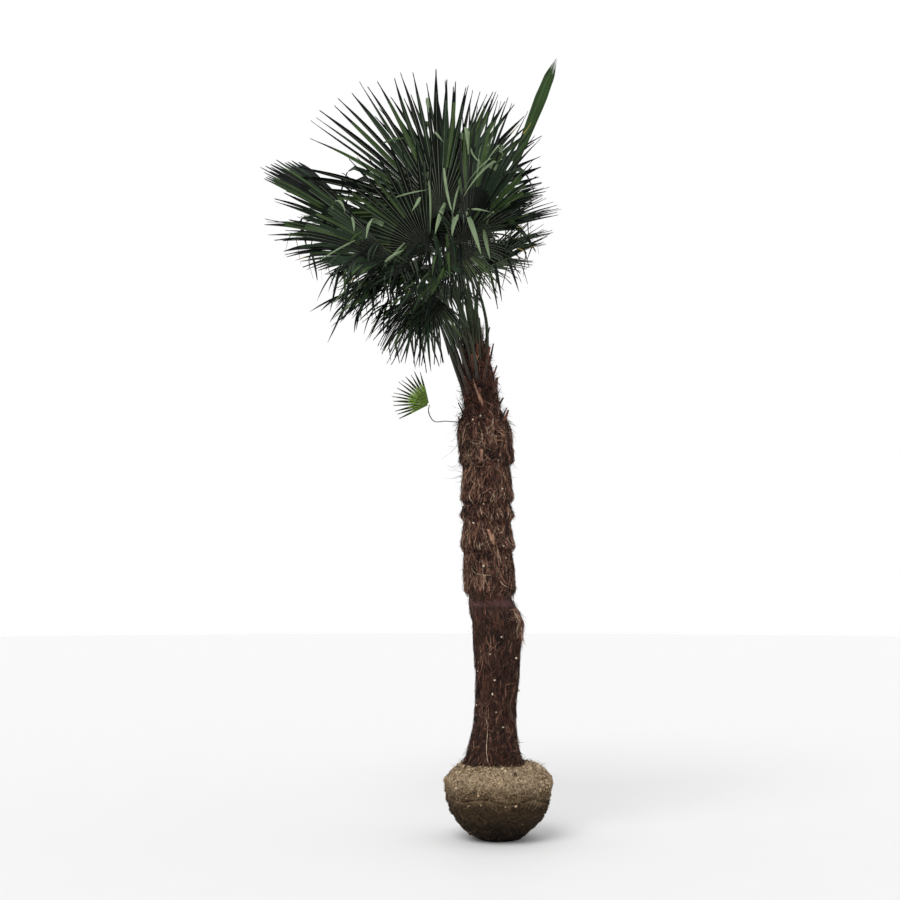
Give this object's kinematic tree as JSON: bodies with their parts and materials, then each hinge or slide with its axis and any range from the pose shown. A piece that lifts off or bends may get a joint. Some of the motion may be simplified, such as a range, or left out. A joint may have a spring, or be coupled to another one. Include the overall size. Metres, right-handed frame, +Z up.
{
  "type": "windmill palm",
  "caption": "Tall windmill palm with a shaggy fibre-clad trunk and a head of fan-shaped fronds, lifted from the field and standing on its round earth root ball.",
  "frame": {"origin": "middle of the root ball's flat underside, on the surface that the palm stands on", "axes": "+Z up along the palm's height; +X to the right and +Y away, as the palm is seen from its front; the head leans towards -X"},
  "size_m": [1.8784, 2.2109, 5.0612],
  "materials": {
    "earth": "crumbly dry earth, paler on top and darker below",
    "fibre": "matt red-brown hanging fibre",
    "stalk": "smooth satin green leaf stalk",
    "leaf": "dark green pleated leaf, slight gloss",
    "young_leaf": "bright green young leaf, slight gloss"
  },
  "bodies": {
    "root": {"root_ball": "earth", "trunk": "fibre", "stalk_01": "stalk", "stalk_02": "stalk", "stalk_03": "stalk", "stalk_04": "stalk", "stalk_05": "stalk", "stalk_06": "stalk", "stalk_07": "stalk", "stalk_08": "stalk", "stalk_09": "stalk", "stalk_10": "stalk", "stalk_11": "stalk", "stalk_12": "stalk", "stalk_13": "stalk", "stalk_14": "stalk", "stalk_15": "stalk", "stalk_16": "stalk", "stalk_17": "stalk", "stalk_18": "stalk", "stalk_19": "stalk", "stalk_20": "stalk", "stalk_21": "stalk", "stalk_22": "stalk", "stalk_23": "stalk", "stalk_24": "stalk", "stalk_25": "stalk", "stalk_26": "stalk", "blade_01": "leaf", "blade_02": "leaf", "blade_03": "leaf", "blade_04": "leaf", "blade_05": "leaf", "blade_06": "leaf", "blade_07": "leaf", "blade_08": "leaf", "blade_09": "leaf", "blade_10": "leaf", "blade_11": "leaf", "blade_12": "leaf", "blade_13": "leaf", "blade_14": "leaf", "blade_15": "leaf", "blade_16": "leaf", "blade_17": "leaf", "blade_18": "leaf", "blade_19": "leaf", "blade_20": "leaf", "blade_21": "leaf", "blade_22": "leaf", "blade_23": "leaf", "blade_24": "leaf", "blade_25": "leaf", "blade_26": "leaf", "stalk_spear": "stalk", "blade_spear": "young_leaf", "stalk_low": "stalk", "blade_low": "young_leaf"}
  },
  "joints": []
}
